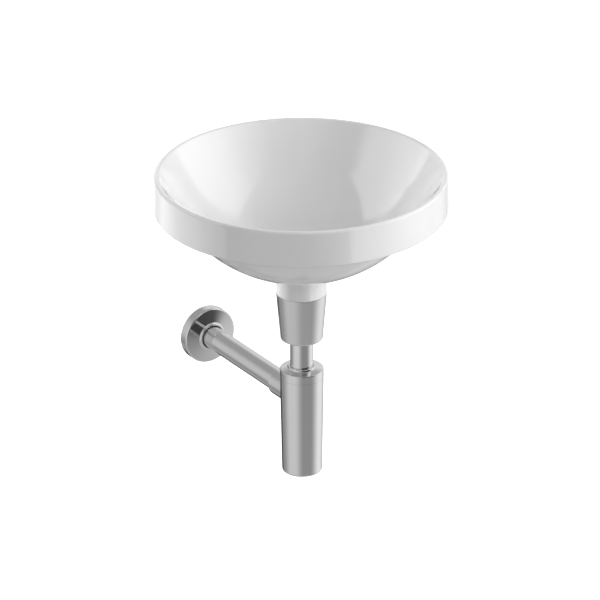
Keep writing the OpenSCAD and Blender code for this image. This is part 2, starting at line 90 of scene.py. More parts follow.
# Trap: its tapered outside, the cap ring with its neck, the seal, the bottle and the cleaning hole
TRAP_TOP = -242.5
TRAP_LOW = -399.2
TRAP_TOP_R = 30.4
TRAP_LOW_R = 27.8
CAP_LOW = -254.5
NECK_R = 19.7
CONE_TOP = -240.3
NECK_TOP = -237.6
SEAL_TOP = -247.7
SEAL_R = 20.1
CAP_CEILING = -245.5
THREAD_R = 25.0
BOTTLE_TOP = -254.6
BOTTLE_NECK = -246.1
POCKET_FLOOR = -254.0
PLATE_LOW = -257.6
TRAP_WALL = 2.2
FLOOR_TOP = -389.6
CLEAN_R = 20.3
CLEAN_FLANGE_R = 23.3
CLEAN_TOP = -396.6

# Outlet: the pipe's height, the bottle's boss, the pipe's necked end with its seals, and the wall
OUTLET_Z = -286.2
BOSS_Z = -288.0
BOSS_R = 17.8
BOSS_END = 59.0
BOSS_STEP = 3.6
NECKED_R = 14.0
NECKED_BORE = 11.8
NECKED_START = 33.0
SEAL_GROOVES = (36.0, 40.0)
GROOVE = 1.2
SHOULDER = 59.1
WALL_Y = 250.0
PIPE_END = 275.0

# Rosette: rim, cone, bead round the pipe (distance from the pipe's axis, and along it) and collar
ROSETTE_R = 41.0
ROSETTE_FACE = 235.0
ROSETTE_EDGE = 2.5
CONE_END = 232.4
BEAD = (18.4, 230.3)
BEAD_R = 1.4
BEAD_FOOT = 21.0
RING_OUT = 18.3
RING_FRONT = 231.7
COLLAR_END = 236.2
SHEET_T = 1.0

# Roundings of the edges, in millimetres
CUT = 0.3
FINE_CUT = 0.2
SEAM = 0.15
PIPE_EDGE = 0.1
SKIRT_EDGE = 0.8
SPIGOT_EDGE = 0.5
DRAIN_EDGE = 1.0
RECESS_CORNER = 0.8
RECESS_TOP_EDGE = 1.2
PLUG_LOW_EDGE = 0.8
PLUG_HIGH_EDGE = 0.9
CUP_LOW_EDGE = 3.0
CUP_RIM = 0.35
CUP_FLOOR_EDGE = 1.8
CUP_COLLAR_EDGE = 0.4
TRAP_TOP_EDGE = 1.2
TRAP_LOW_EDGE = 3.0
NECK_FOOT = 0.5
NECK_EDGE = 1.6
BOTTLE_NECK_EDGE = 0.8
NECKED_EDGE = 0.8
PIPE_END_EDGE = 0.4
BEAD_FOOT_EDGE = 1.5
SHEET_BEND = 1.5
COLLAR_BEND = 0.5

# Small steps of the outlines, in millimetres unless it says otherwise
RUN = 6.0  # straight stretch from a corner to where the next arc or outline takes over
RECESS_STEP = 1.5  # from the recess's side out to the bowl's surface
RECESS_RISE = 0.3
PLUG_ARC_END = 75.0  # degrees through which the upper edge of the waste's cap turns
BOSS_FLARE = 4.0  # quarter circle by which the boss widens into the bottle
BOSS_SUNK = 2.0  # depth to which the boss's root goes into the bottle
BOSS_CORE_Y = 26.0  # where the boss's hidden inside ends
BOSS_CORE_R = NECKED_R * 0.8
NECK_TAPER = 3.0
WALL_MARK = (0.3, 1.0)  # depth and width of the groove that shows where the wall starts
BEAD_START = 30.0  # degrees at which the bead's arc leaves the cone
BEAD_SIDE = (0.8, 0.6)  # unit vector from the bead's centre to where the cone meets it

# How many points run once round each surface, and how many steps an arc has
BASIN_AROUND = 320
BOTTLE_AROUND = 256
CUP_AROUND = 224
PIPE_AROUND = 192
FILLET_STEPS = 6
ROSETTE_STEPS = 10
BOWL_STEPS = 60
SLOPE_STEPS = 25
LIP_STEPS = 18
UNDER_STEPS = 48
PLUG_EDGE_STEPS = 5
DOME_STEPS = 24
BEAD_STEPS = 24
BOSS_STEPS = 10

# The photograph's camera, in pixels, degrees and metres: its lens, from which side and how far away
# it looks, at what, how far it sees, and how far its frame is moved aside and rolled
PHOTO_SIZE = 600
PIXELS_PER_FOCUS = 4000.0
SENSOR_MM = 36.0
AZIMUTH = -33.6
ELEVATION = 25.0
DISTANCE = 5.478
SIGHT_END = 100.0
TARGET = Vector((0.0, 0.0, -0.1394))
SIDE_PIXELS = 1.5
ROLL = -0.22

azimuth, elevation = math.radians(AZIMUTH), math.radians(ELEVATION)
to_camera = Vector((math.sin(azimuth) * math.cos(elevation),
                    -math.cos(azimuth) * math.cos(elevation), math.sin(elevation)))
camera_right = Vector((math.cos(azimuth), math.sin(azimuth), 0.0))
camera_up = to_camera.cross(camera_right)
camera_level = Vector((math.sin(azimuth), -math.cos(azimuth), 0.0))


# Outlines and surfaces

HELD = 0.1  # how far from a fillet's end the point stands that keeps the next stretch flat, in mm
HELD_ROOM = 3  # a stretch gets such a point if it is longer than this many fillet ends
STRAIGHT = 89.5  # half angle, in degrees, from which a corner counts as straight
SHARP = 32  # degrees between faces from which an edge is shaded sharp
MERGE_DIGITS = 8  # decimals of a metre to which two points have to agree to become one


def arc(centre, radius, start, end, steps):
    """Points centre + radius * (cos a, sin a), with a going from start to end in degrees."""
    a = np.radians(np.linspace(start, end, steps + 1))
    return np.column_stack([centre[0] + radius * np.cos(a), centre[1] + radius * np.sin(a)])


def rounded(corners, steps=FILLET_STEPS):
    """Outline through corners (across, along, fillet). Each fillet is the arc that touches both
    edges: its centre lies on the bisector at fillet / sin(half angle), and it starts and ends at
    fillet / tan(half angle) from the corner. A point HELD beyond each end of a fillet keeps the
    straight stretch next to it flat in the shading."""
    made = []
    points = np.array([c[:2] for c in corners], float)
    for i, corner in enumerate(corners):
        p = points[i]
        before, after = points[i - 1] - p, points[(i + 1) % len(points)] - p
        u, v = before / np.linalg.norm(before), after / np.linalg.norm(after)
        half = math.acos(float(np.clip(u @ v, -1, 1))) / 2
        fillet = corner[2] if len(corner) > 2 else 0.0
        if fillet == 0 or half > math.radians(STRAIGHT):
            made.append(p[None])
            continue
        centre = p + (u + v) / np.linalg.norm(u + v) * fillet / math.sin(half)
        first = p + u * fillet / math.tan(half) - centre
        last = p + v * fillet / math.tan(half) - centre
        a0, a1 = math.atan2(first[1], first[0]), math.atan2(last[1], last[0])
        turn = (a1 - a0 + math.pi) % (2 * math.pi) - math.pi
        a = a0 + turn * np.linspace(0, 1, steps + 1)
        ends = fillet / math.tan(half) + HELD
        if np.linalg.norm(before) > HELD_ROOM * ends:
            made.append((p + u * ends)[None])
        made.append(centre + fillet * np.column_stack([np.cos(a), np.sin(a)]))
        if np.linalg.norm(after) > HELD_ROOM * ends:
            made.append((p + v * ends)[None])
    return np.vstack(made)


def anticlockwise(outline):
    """The closed outline turned so that its signed area, half the sum of cross products of
    neighbouring points, is positive."""
    after = np.roll(outline, -1, axis=0)
    area = np.sum(outline[:, 0] * after[:, 1] - after[:, 0] * outline[:, 1])
    return outline if area > 0 else outline[::-1]


def turned_grid(outline, around):
    """Surface of revolution: the outline's point (r, h) goes to (r cos t, r sin t, h), with t
    running once round."""
    t = np.linspace(0, 2 * np.pi, around, endpoint=False)
    r, h = outline[:, :1], outline[:, 1:]
    return np.stack([r * np.cos(t), r * np.sin(t), h + 0 * t], axis=-1)


def towards_wall(grid, z):
    """Turns a surface about X so that its axis runs along +Y at height z: (x, y, z) becomes
    (x, z, -y)."""
    return np.stack([grid[..., 0], grid[..., 2], z - grid[..., 1]], axis=-1)


def closed_quads(rows, columns):
    """Corner numbers of the quads of a grid that closes both ways, wound to face outwards for an
    anticlockwise outline."""
    i, j = np.meshgrid(np.arange(rows), np.arange(columns), indexing="ij")
    i1, j1 = (i + 1) % rows, (j + 1) % columns
    return np.stack([i * columns + j, i * columns + j1, i1 * columns + j1, i1 * columns + j],
                    axis=-1).reshape(-1, 4)


def mesh_piece(name, grids):
    """Object from grids in millimetres. Points that coincide, such as those at a pole, become one,
    and a quad that loses a corner becomes a triangle."""
    points, quads, start = [], [], 0
    for grid in grids:
        points.append(grid.reshape(-1, 3) * MM)
        quads.append(closed_quads(*grid.shape[:2]) + start)
        start += len(points[-1])
    points, quads = np.vstack(points), np.vstack(quads)
    _, keep, where = np.unique(np.round(points, MERGE_DIGITS), axis=0, return_index=True,
                               return_inverse=True)
    points, quads = points[keep], where.reshape(-1)[quads]
    same = quads == np.roll(quads, -1, axis=1)
    whole, lost = ~same.any(axis=1), same.sum(axis=1) == 1
    triangles = quads[lost][~same[lost]].reshape(-1, 3)
    mesh = bpy.data.meshes.new(name)
    mesh.from_pydata(points.tolist(), [], quads[whole].tolist() + triangles.tolist())
    mesh.update()
    mesh.polygons.foreach_set("use_smooth", np.ones(len(mesh.polygons), bool))
    mesh.set_sharp_from_angle(angle=math.radians(SHARP))
    piece = bpy.data.objects.new(name, mesh)
    bpy.context.scene.collection.objects.link(piece)
    return piece


def trap_r(z):
    """Radius of the trap's tapered outside at height z, on a straight line between its ends."""
    return TRAP_LOW_R + (TRAP_TOP_R - TRAP_LOW_R) * (z - TRAP_LOW) / (TRAP_TOP - TRAP_LOW)


# Shader maths

class Graph:
    """A node tree. add() makes any node: it sets the settings first, then the sockets."""

    def __init__(self, tree):
        self.tree = tree
        tree.nodes.clear()

    def add(self, kind, settings=None, sockets=None, output=0):
        """New node, as the Value of one output, or the node itself where it has none."""
        node = self.tree.nodes.new(kind)
        for key, value in (settings or {}).items():
            setattr(node, key, value)
        for key, value in (sockets or {}).items():
            if isinstance(value, Value):
                self.tree.links.new(value.socket, node.inputs[key])
            else:
                node.inputs[key].default_value = value
        return Value(self, node.outputs[output]) if len(node.outputs) else node

    def blend(self, factor, first, second):
        """Colour that goes from first to second as factor goes from 0 to 1."""
        return self.add("ShaderNodeMix", {"data_type": "RGBA"}, {0: factor, 6: first, 7: second}, 2)


class Value:
    """A socket on which arithmetic adds Math nodes."""

    def __init__(self, graph, socket):
        self.graph, self.socket = graph, socket

    def of(self, operation, *others):
        """Math node on this value and up to two others."""
        sockets = {i: v for i, v in enumerate((self,) + others)}
        return self.graph.add("ShaderNodeMath", {"operation": operation}, sockets)

    def part(self, name):
        """One of the x, y, z parts of a vector."""
        return self.graph.add("ShaderNodeSeparateXYZ", {}, {0: self}, "XYZ".index(name.upper()))

    def ramp(self, low, high):
        """0 at low and 1 at high, along a smooth step."""
        return self.graph.add("ShaderNodeMapRange", {"interpolation_type": "SMOOTHSTEP"},
                              {0: self, 1: low, 2: high, 3: 0.0, 4: 1.0})

    def __add__(self, other):
        return self.of("ADD", other)

    def __mul__(self, other):
        return self.of("MULTIPLY", other)

    def __sub__(self, other):
        return self.of("SUBTRACT", other)

    def __rsub__(self, other):
        return (self * -1.0).of("ADD", other)

    __radd__ = __add__
    __rmul__ = __mul__


def grey(level):
    """Neutral colour with the same level in red, green and blue."""
    return (level, level, level, 1.0)


def noise(graph, where, scale, detail=3.0):
    """Cloudy pattern between 0 and 1. A higher detail adds finer clouds."""
    return graph.add("ShaderNodeTexNoise", {}, {"Vector": where, "Scale": scale, "Detail": detail})


def finish_of(name, constants, draw):
    """Material with one Principled shader. constants go straight on its sockets, and draw returns
    the sockets that change over the surface."""
    material = bpy.data.materials.new(name)
    material.use_nodes = True
    graph = Graph(material.node_tree)
    place = graph.add("ShaderNodeTexCoord", {}, {}, "Object")
    sockets = dict(constants)
    sockets.update(draw(graph, place))
    shader = graph.add("ShaderNodeBsdfPrincipled", {}, sockets)
    graph.add("ShaderNodeOutputMaterial", {}, {"Surface": shader})
    return material


def bump(graph, height, distance, strength):
    """Normal tilted by a height pattern whose 0 to 1 stands for distance in metres."""
    return graph.add("ShaderNodeBump", {}, {"Height": height, "Distance": distance,
                                            "Strength": strength})


# Finishes: the two ends of each tone
GLAZE_LOW = grey(0.86)
GLAZE_HIGH = grey(0.875)
CLAY_LOW = (0.62, 0.57, 0.50, 1.0)
CLAY_HIGH = (0.74, 0.70, 0.63, 1.0)
CHROME_LOW = grey(0.80)
CHROME_HIGH = grey(0.83)
BRASS_LOW = (0.70, 0.52, 0.25, 1.0)
BRASS_HIGH = (0.82, 0.64, 0.34, 1.0)
RUBBER_LOW = grey(0.012)
RUBBER_HIGH = grey(0.03)
PLASTIC_LOW = (0.74, 0.74, 0.71, 1.0)
PLASTIC_HIGH = (0.80, 0.80, 0.78, 1.0)

# How fine each pattern is: a noise's scale on a place in metres, and radians per metre for rings
GLAZE_CLOUD = 9.0
GLAZE_WAVES = 55.0
CLAY_GRAIN = 900.0
CHROME_CLOUD = 22.0
CHROME_LINES = 420.0
BRASS_CLOUD = 60.0
BRASS_RINGS = 9000.0
RUBBER_GRAIN = 1500.0
PLASTIC_MOTTLE = 180.0

# Roughness where a pattern is 0, and what each pattern adds where it is 1
GLAZE_ROUGH, GLAZE_ROUGHER, CLAY_ROUGHER = 0.1, 0.03, 0.55
CHROME_ROUGH, CHROME_ROUGHER, LINES_ROUGHER = 0.035, 0.03, 0.02
BRASS_ROUGH, BRASS_ROUGHER = 0.28, 0.12
RUBBER_ROUGH, RUBBER_ROUGHER = 0.55, 0.2
PLASTIC_ROUGH, PLASTIC_ROUGHER = 0.42, 0.1

# Relief: its height in metres and its strength
GLAZE_RELIEF = (0.0004, 0.02)
BRASS_RELIEF = (0.0001, 0.25)
RUBBER_RELIEF = (0.0001, 0.3)
PLASTIC_RELIEF = (0.0001, 0.15)

# Where the bare clay starts and ends, in metres: heights and distances from the axis
FOOT_GLAZE_Z = (0.0004, 0.0016)
FOOT_GLAZE_R = (0.184, 0.188)
SPIGOT_GLAZE_Z = (-0.12699, -0.12690)
SPIGOT_GLAZE_R = (0.0335, 0.0343)


def glaze(graph, place):
    """White glaze with a hardly visible change of tone and gloss. The foot of the rim and the end
    of the spigot are bare clay."""
    x, y, z = (place.part(name) for name in "xyz")
    far = (x * x + y * y).of("SQRT")
    foot = (1.0 - z.ramp(*FOOT_GLAZE_Z)) * far.ramp(*FOOT_GLAZE_R)
    spigot = (1.0 - z.ramp(*SPIGOT_GLAZE_Z)) * (1.0 - far.ramp(*SPIGOT_GLAZE_R))
    bare = foot.of("MAXIMUM", spigot)
    cloud = noise(graph, place, GLAZE_CLOUD)
    grain = noise(graph, place, CLAY_GRAIN)
    waves = noise(graph, place, GLAZE_WAVES, 1.0)
    tone = graph.blend(cloud, GLAZE_LOW, GLAZE_HIGH)
    clay = graph.blend(grain, CLAY_LOW, CLAY_HIGH)
    return {"Base Color": graph.blend(bare, tone, clay),
            "Roughness": GLAZE_ROUGH + cloud * GLAZE_ROUGHER + bare * CLAY_ROUGHER,
            "Coat Weight": 1.0 - bare,
            "Normal": bump(graph, waves + grain * bare, *GLAZE_RELIEF)}


def polish(graph, place):
    """Chrome plate: faint clouds of tone, and a polish that changes a little from place to
    place."""
    cloud = noise(graph, place, CHROME_CLOUD)
    lines = noise(graph, place, CHROME_LINES, 2.0)
    return {"Base Color": graph.blend(cloud, CHROME_LOW, CHROME_HIGH),
            "Roughness": CHROME_ROUGH + cloud * CHROME_ROUGHER + lines * LINES_ROUGHER}


def turned_brass(graph, place):
    """Unplated brass with the fine rings that a lathe leaves."""
    rings = (place.part("z") * BRASS_RINGS).of("SINE")
    cloud = noise(graph, place, BRASS_CLOUD)
    return {"Base Color": graph.blend(cloud, BRASS_LOW, BRASS_HIGH),
            "Roughness": BRASS_ROUGH + cloud * BRASS_ROUGHER,
            "Normal": bump(graph, rings, *BRASS_RELIEF)}


def rubber_skin(graph, place):
    """Matt black rubber with a fine grain."""
    grain = noise(graph, place, RUBBER_GRAIN)
    return {"Base Color": graph.blend(grain, RUBBER_LOW, RUBBER_HIGH),
            "Roughness": RUBBER_ROUGH + grain * RUBBER_ROUGHER,
            "Normal": bump(graph, grain, *RUBBER_RELIEF)}


def moulded_skin(graph, place):
    """Off-white moulded plastic with a faint mottle."""
    mottle = noise(graph, place, PLASTIC_MOTTLE)
    return {"Base Color": graph.blend(mottle, PLASTIC_LOW, PLASTIC_HIGH),
            "Roughness": PLASTIC_ROUGH + mottle * PLASTIC_ROUGHER,
            "Normal": bump(graph, mottle, *PLASTIC_RELIEF)}


glazed_ceramic = finish_of("glazed_ceramic",
                           {"IOR": 1.5, "Coat IOR": 1.5, "Coat Roughness": GLAZE_ROUGH}, glaze)
chrome = finish_of("chrome_plate", {"Metallic": 1.0}, polish)
brass = finish_of("turned_brass", {"Metallic": 1.0}, turned_brass)
rubber = finish_of("black_rubber", {"IOR": 1.5}, rubber_skin)
plastic = finish_of("moulded_plastic", {"IOR": 1.46}, moulded_skin)


def dress(piece, material, body=None, instead_of=()):
    """Gives a piece its material and, for a new one, its body, and hides the nodes it stands for.
    """
    piece.data.materials.clear()
    piece.data.materials.append(material)
    if body:
        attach(piece, body)
        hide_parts(*instead_of)
    return piece


# The basin

def basin_outline():
    """Bowl, straight slope, lip, skirt, hollow, outer bowl, spigot, drain and recess. The slope
    touches the bowl's sphere and the lip's circle, so all three share the normal at wall_angle. The
    outer bowl is the same sphere grown by BOWL_WALL, and the hollow's circle touches it."""
    wall_angle = WALL_SLOPE - 90
    normal = np.array([math.cos(math.radians(wall_angle)), math.sin(math.radians(wall_angle))])
    bowl = np.array([0.0, BOWL_CENTRE])
    lip = np.array([RIM_R - RIM_TAPER - LIP_R, RIM_H - LIP_R])
    outer = BOWL_R + BOWL_WALL
    inner_low = math.degrees(math.asin((RECESS_R + RECESS_STEP) / BOWL_R)) - 90
    outer_low = math.degrees(math.asin((SPIGOT_R + SPIGOT_BLEND) / (outer + SPIGOT_BLEND))) - 90
    cavity_x = SKIRT_IN - CAVITY_R
    cavity = np.array([cavity_x,
                       BOWL_CENTRE + (outer + CAVITY_R - cavity_x * normal[0]) / normal[1]])
    low = np.radians(outer_low)
    blend = bowl + (outer + SPIGOT_BLEND) * np.array([math.cos(low), math.sin(low)])
    recess_top = BOWL_CENTRE - math.sqrt(BOWL_R ** 2 - RECESS_R ** 2)
    waste_side = rounded([
        (DRAIN_R, SEAT_Z - RUN), (DRAIN_R, SEAT_Z, DRAIN_EDGE), (RECESS_R, SEAT_Z, RECESS_CORNER),
        (RECESS_R, recess_top, RECESS_TOP_EDGE),
        (RECESS_R + RECESS_STEP, recess_top + RECESS_RISE)])
    foot = rounded([
        (RIM_R - RIM_TAPER * RUN / RIM_H, RUN), (RIM_R, 0.0, FOOT_R), (SKIRT_IN, 0.0, SKIRT_EDGE),
        (SKIRT_IN, RUN)])
    spigot = rounded([
        (SPIGOT_R, SPIGOT_END + RUN), (SPIGOT_R, SPIGOT_END, SPIGOT_EDGE),
        (DRAIN_R, SPIGOT_END, DRAIN_EDGE), (DRAIN_R, SPIGOT_END + RUN)])
    share = np.linspace(0, 1, SLOPE_STEPS + 1)[1:-1, None]
    slope_low = bowl + BOWL_R * normal
    slope_high = lip - LIP_R * normal
    return np.vstack([
        arc(bowl, BOWL_R, inner_low, wall_angle, BOWL_STEPS),
        slope_low + (slope_high - slope_low) * share,
        arc(lip, LIP_R, wall_angle + 180, 0, LIP_STEPS),
        foot,
        arc(cavity, CAVITY_R, 0, 180 + wall_angle, FILLET_STEPS),
        arc(bowl, outer, wall_angle, outer_low, UNDER_STEPS),
        arc(blend, SPIGOT_BLEND, outer_low + 180, 180, FILLET_STEPS),
        spigot, waste_side[:-1]])


basin = mesh_piece("basin_glazed", [turned_grid(anticlockwise(basin_outline()), BASIN_AROUND)])
dress(basin, glazed_ceramic, "basin_and_waste", ["basin"])


# The waste's cap and the tube under it

def plug_outline():
    """Flat underside, rounded edge, and a dome that is an arc through the edge and the crown."""
    dome_r = (PLUG_R ** 2 + PLUG_DOME ** 2) / (2 * PLUG_DOME)
    crown = CAP_UNDER + PLUG_EDGE + PLUG_DOME
    over = PLUG_R - PLUG_HIGH_EDGE
    dome_start = 90 - math.degrees(math.asin(over / dome_r))
    return np.vstack([
        [[0.0, CAP_UNDER]],
        arc((PLUG_R - PLUG_LOW_EDGE, CAP_UNDER + PLUG_LOW_EDGE), PLUG_LOW_EDGE, -90, 0,
            PLUG_EDGE_STEPS),
        arc((over, CAP_UNDER + PLUG_EDGE - PLUG_HIGH_EDGE), PLUG_HIGH_EDGE, 0, PLUG_ARC_END,
            PLUG_EDGE_STEPS),
        arc((0, crown - dome_r), dome_r, dome_start, 90, DOME_STEPS)])


plug = mesh_piece("plug_cap", [turned_grid(anticlockwise(plug_outline()), PIPE_AROUND)])
dress(plug, chrome, "plug", ["waste_plug"])

# Tube: a thin wall turned about the axis, with a collar at its top
tube_outline = rounded([
    (TUBE_R - TUBE_WALL, TUBE_END, CUT), (TUBE_R, TUBE_END, CUT), (TUBE_R, COLLAR_LOW, FINE_CUT),
    (COLLAR_R, COLLAR_LOW, CUT), (COLLAR_R, COLLAR_TOP, CUT),
    (TUBE_R - TUBE_WALL, COLLAR_TOP, CUT)])
tube = mesh_piece("straight_tube", [turned_grid(anticlockwise(tube_outline), PIPE_AROUND)])
dress(tube, chrome, "basin_and_waste", ["dip_tube"])


# The cover cup, the cap ring and the bottle

# Cup: a tapered wall and a floor turned about the axis, with a collar round the tube
cup_outline = rounded([
    (TUBE_R + FREE, CUP_LOW, CUT), (CUP_LOW_R, CUP_LOW, CUP_LOW_EDGE),
    (CUP_TOP_R, CUP_TOP, CUP_RIM), (CUP_TOP_R - CUP_WALL, CUP_TOP, CUP_RIM),
    (CUP_LOW_R - CUP_WALL, CUP_FLOOR, CUP_FLOOR_EDGE), (CUP_COLLAR_R, CUP_FLOOR, CUP_COLLAR_EDGE),
    (CUP_COLLAR_R, CUP_COLLAR_TOP, CUT), (GRIP_R, CUP_COLLAR_TOP, CUT), (GRIP_R, CUP_FLOOR),
    (TUBE_R + FREE, CUP_FLOOR)])
cup = mesh_piece("cup_shell", [turned_grid(anticlockwise(cup_outline), CUP_AROUND)])
dress(cup, chrome, "cup", ["cover_cup"])

# Cap ring: skirt, cone and rounded neck outside, and thread, ceiling and seal pocket inside
cap_outline = rounded([
    (THREAD_R + FREE, CAP_LOW, FINE_CUT), (trap_r(CAP_LOW), CAP_LOW, SEAM),
    (TRAP_TOP_R, TRAP_TOP, TRAP_TOP_EDGE), (NECK_R, CONE_TOP, NECK_FOOT),
    (NECK_R, NECK_TOP, NECK_EDGE), (TUBE_R + FREE, NECK_TOP, FINE_CUT), (TUBE_R + FREE, SEAL_TOP),
    (SEAL_R, SEAL_TOP, CUT), (SEAL_R, CAP_CEILING), (THREAD_R + FREE, CAP_CEILING)])
cap = mesh_piece("cap_shell", [turned_grid(anticlockwise(cap_outline), CUP_AROUND)])
dress(cap, chrome, "trap_head", ["trap_cap"])

# Bottle: tapered wall, with the thread and the seal's pocket above and the cleaning hole below
bottle_outline = rounded([
    (CLEAN_FLANGE_R, TRAP_LOW, CUT), (TRAP_LOW_R, TRAP_LOW, TRAP_LOW_EDGE),
    (trap_r(BOTTLE_TOP), BOTTLE_TOP, SEAM), (THREAD_R, BOTTLE_TOP, FINE_CUT),
    (THREAD_R, BOTTLE_NECK, BOTTLE_NECK_EDGE), (SEAL_R + FREE, BOTTLE_NECK, CUT),
    (SEAL_R + FREE, POCKET_FLOOR), (TUBE_R + FREE, POCKET_FLOOR), (TUBE_R + FREE, PLATE_LOW),
    (trap_r(PLATE_LOW) - TRAP_WALL, PLATE_LOW), (trap_r(FLOOR_TOP) - TRAP_WALL, FLOOR_TOP),
    (CLEAN_R, FLOOR_TOP, CUT), (CLEAN_R, CLEAN_TOP), (CLEAN_FLANGE_R, CLEAN_TOP)])


def boss_grid():
    """Boss as rings about its own axis: point k of a ring is (r cos t, y, BOSS_Z - r sin t). At the
    root the radius widens along a quarter circle, and y starts from the bottle's surface, where
    y = sqrt(R(z)^2 - x^2). The end is rounded about the pipe's axis: y there is the quarter circle
    of radius BOSS_STEP at the point's distance from that axis."""
    t = np.linspace(0, 2 * np.pi, PIPE_AROUND, endpoint=False)[None]
    a = np.radians(np.linspace(0, 90, BOSS_STEPS + 1))[:, None]

    def ring(radius, distance):
        """Ring of the boss at a radius and a distance from the bottle's axis."""
        radius, distance = np.broadcast_arrays(radius + 0 * t, distance + 0 * t)
        return np.stack([radius * np.cos(t), distance, BOSS_Z - radius * np.sin(t)], axis=-1)

    def on_bottle(radius):
        """How far from its axis the bottle's surface lies along the boss at this radius."""
        z = BOSS_Z - radius * np.sin(t)
        return np.sqrt(trap_r(z) ** 2 - (radius * np.cos(t)) ** 2)

    def end_y(radius):
        """How far along the pipe the rounded end lies at this radius."""
        off = np.hypot(radius * np.cos(t), BOSS_Z - radius * np.sin(t) - OUTLET_Z) - TUBE_R
        fall = BOSS_STEP ** 2 - np.clip(off, 0, BOSS_STEP) ** 2
        return BOSS_END - BOSS_STEP + np.sqrt(np.clip(fall, 0, None))

    def pipe_side(share):
        """Radius that goes from the boss's own outline at share 0 to the pipe's at share 1."""
        drop = OUTLET_Z - BOSS_Z
        pipe = -drop * np.sin(t) + np.sqrt(TUBE_R ** 2 - (drop * np.cos(t)) ** 2)
        return BOSS_R + (np.minimum(pipe, BOSS_R) - BOSS_R) * share

    wide = BOSS_R + BOSS_FLARE
    root = ring(np.array([[wide]]), on_bottle(wide) - BOSS_SUNK)
    radius = BOSS_R + BOSS_FLARE * (1 - np.sin(a))
    flared = ring(radius, on_bottle(radius) + BOSS_FLARE * (1 - np.cos(a)))
    shoulder = pipe_side(np.sin(a[:-1]))
    end = ring(shoulder, end_y(shoulder))
    last = pipe_side(1.0)
    face = ring(np.concatenate([last, last * 0 + BOSS_CORE_R]), np.array([[BOSS_END], [BOSS_END]]))
    core = ring(np.full((1, 1), BOSS_CORE_R), np.array([[BOSS_CORE_Y]]))
    return np.concatenate([root, flared, end, face, core])


bottle = mesh_piece("bottle_shell",
                    [turned_grid(anticlockwise(bottle_outline), BOTTLE_AROUND), boss_grid()])
dress(bottle, chrome, "bottle", ["trap_bottle"])


# The outlet pipe and the rosette

seal_grooves = [(r, y) for start in SEAL_GROOVES for r, y in (
    (NECKED_R, start), (NECKED_R - GROOVE, start), (NECKED_R - GROOVE, start + GROOVE),
    (NECKED_R, start + GROOVE))]
# Pipe: necked end with two seal grooves, straight run, and the mark where the wall starts
mark_depth, mark_width = WALL_MARK
pipe_outline = rounded([
    (NECKED_BORE, NECKED_START, CUT), (NECKED_R, NECKED_START, NECKED_EDGE), *seal_grooves,
    (NECKED_R, SHOULDER, CUT), (TUBE_R, SHOULDER, PIPE_EDGE),
    (TUBE_R, WALL_Y - mark_width, PIPE_EDGE), (TUBE_R - mark_depth, WALL_Y - mark_width),
    (TUBE_R - mark_depth, WALL_Y), (TUBE_R, WALL_Y, PIPE_EDGE), (TUBE_R, PIPE_END, PIPE_END_EDGE),
    (TUBE_R - TUBE_WALL, PIPE_END, CUT), (TUBE_R - TUBE_WALL, SHOULDER + NECK_TAPER),
    (NECKED_BORE, SHOULDER)])
pipe = mesh_piece("wall_pipe", [towards_wall(turned_grid(anticlockwise(pipe_outline), PIPE_AROUND),
                                             OUTLET_Z)])
dress(pipe, chrome, "outlet", ["outlet_pipe"])


def rosette_outline():
    """Rim, rounded edge, cone, hollow foot, bead round the pipe, collar and back."""
    bead_r, bead_y = BEAD
    front = rounded([
        (ROSETTE_R - SHEET_T, WALL_Y), (ROSETTE_R, WALL_Y, CUT),
        (ROSETTE_R, ROSETTE_FACE, ROSETTE_EDGE), (BEAD_FOOT, CONE_END, BEAD_FOOT_EDGE),
        (bead_r + BEAD_R * BEAD_SIDE[0], bead_y + BEAD_R * BEAD_SIDE[1])], ROSETTE_STEPS)[1:-1]
    back = rounded([
        (bead_r - BEAD_R, bead_y), (bead_r - BEAD_R, RING_FRONT), (RING_OUT, RING_FRONT),
        (RING_OUT, COLLAR_END, FINE_CUT), (RING_OUT + SHEET_T, COLLAR_END, FINE_CUT),
        (RING_OUT + SHEET_T, CONE_END + SHEET_T, COLLAR_BEND),
        (ROSETTE_R - SHEET_T, ROSETTE_FACE + SHEET_T, SHEET_BEND),
        (ROSETTE_R - SHEET_T, WALL_Y)])[1:]
    return np.vstack([front, arc(BEAD, BEAD_R, BEAD_START, -180, BEAD_STEPS), back])


rosette = mesh_piece("rosette_shell", [towards_wall(
    turned_grid(anticlockwise(rosette_outline()), BOTTLE_AROUND), OUTLET_Z)])
dress(rosette, chrome, "wall_rosette", ["rosette"])


# Pieces that keep their solid

for material, names in (
        (chrome, ("waste_body", "cleaning_plug")),
        (brass, ("plug_stem", "lock_nut", "union_nut")),
        (plastic, ("click_cartridge", "slip_washer")),
        (rubber, ("flange_gasket", "plug_seal", "spigot_washer", "union_gasket", "cup_grip_ring",
                  "tube_seal", "cleaning_seal", "outlet_seals", "rosette_ring"))):
    for name in names:
        dress(nodes[name], material)


# Camera

def place_camera():
    """Camera on the photograph's line of sight, with its frame moved by SIDE_PIXELS and rolled."""
    data = bpy.data.cameras.new("photo_camera")
    data.sensor_width = SENSOR_MM
    data.lens = PIXELS_PER_FOCUS * SENSOR_MM / PHOTO_SIZE
    data.clip_end = SIGHT_END
    camera = bpy.data.objects.new("photo_camera", data)
    bpy.context.scene.collection.objects.link(camera)
    roll = math.radians(ROLL)
    right = camera_right * math.cos(roll) + camera_up * math.sin(roll)
    up = camera_up * math.cos(roll) - camera_right * math.sin(roll)
    aim = TARGET - camera_right * (SIDE_PIXELS * DISTANCE / PIXELS_PER_FOCUS)
    turn = Matrix((right, up, to_camera)).transposed().to_4x4()
    camera.matrix_world = Matrix.Translation(aim + to_camera * DISTANCE) @ turn
    bpy.context.scene.camera = camera


place_camera()


# Studio: floor, world and lamps

FLOOR_Z = -1.0
FLOOR_HALF = 40.0
FLOOR_GLOW = 0.85
FLOOR_TONE = 0.8
WHITE = grey(1.0)


